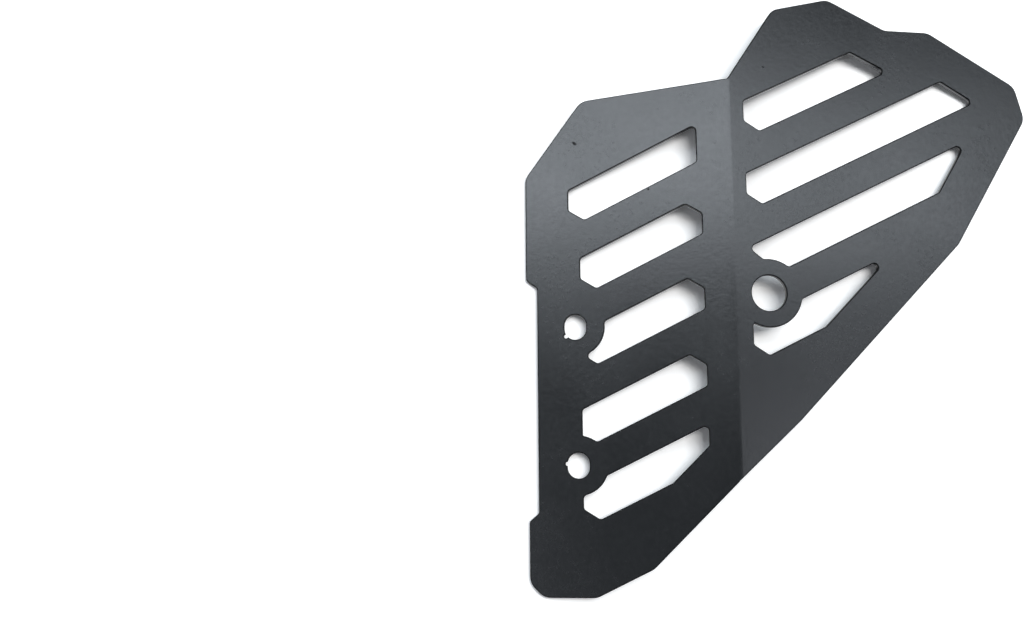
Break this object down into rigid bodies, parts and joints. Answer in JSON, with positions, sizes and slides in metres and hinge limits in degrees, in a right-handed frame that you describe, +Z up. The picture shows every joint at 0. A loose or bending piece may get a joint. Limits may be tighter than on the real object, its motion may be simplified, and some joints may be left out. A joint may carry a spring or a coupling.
{
  "type": "motorcycle skid plate",
  "caption": "Folded steel skid plate for the side of a motorcycle, with slanted slots, oval bolt holes along one edge and a round bolt hole beside the fold.",
  "frame": {"origin": "middle of the plate's footprint, on the surface it lies on", "axes": "+Z up from the surface, +Y along the fold towards the notch at its top, +X across the fold towards the pointed panel"},
  "size_m": [0.1952, 0.2246, 0.0141],
  "materials": {
    "powder_coat": "satin black powder coat with a fine orange-peel texture"
  },
  "bodies": {
    "root": {"skid_plate": "powder_coat"}
  },
  "joints": []
}
